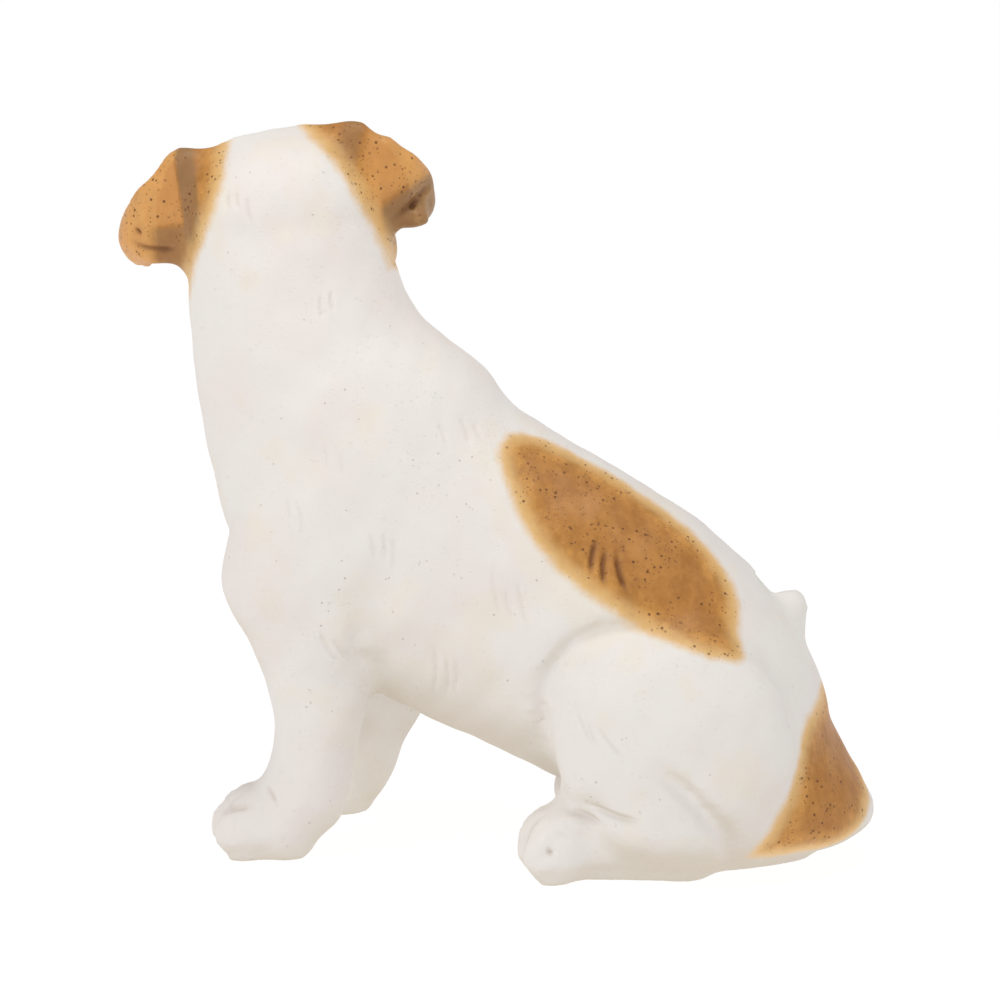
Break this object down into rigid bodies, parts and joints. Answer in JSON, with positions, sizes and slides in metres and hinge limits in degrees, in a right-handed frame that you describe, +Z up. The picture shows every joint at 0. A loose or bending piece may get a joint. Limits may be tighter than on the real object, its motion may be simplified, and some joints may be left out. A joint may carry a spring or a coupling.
{
  "type": "ceramic dog figurine",
  "caption": "Seated ceramic puppy figurine with its head turned over its right shoulder and brown painted patches.",
  "frame": {"origin": "middle of the bottom of the bounding box, on the surface the figurine stands on", "axes": "+Z up, the dog's body faces -Y, the dog's left is +X"},
  "size_m": [0.075, 0.1558, 0.1447],
  "materials": {
    "white_bisque": "matte unglazed white bisque with painted brown patches",
    "brown_bisque": "matte bisque painted ochre brown with dark specks",
    "dark_glaze": "glossy dark brown glaze"
  },
  "bodies": {
    "root": {"torso": "white_bisque", "head": "white_bisque", "left_ear": "brown_bisque", "right_ear": "brown_bisque", "left_foreleg": "white_bisque", "right_foreleg": "white_bisque", "left_haunch": "white_bisque", "right_haunch": "white_bisque", "left_hind_foot": "white_bisque", "right_hind_foot": "white_bisque", "tail": "white_bisque", "left_eye": "dark_glaze", "right_eye": "dark_glaze", "nose": "dark_glaze"}
  },
  "joints": []
}
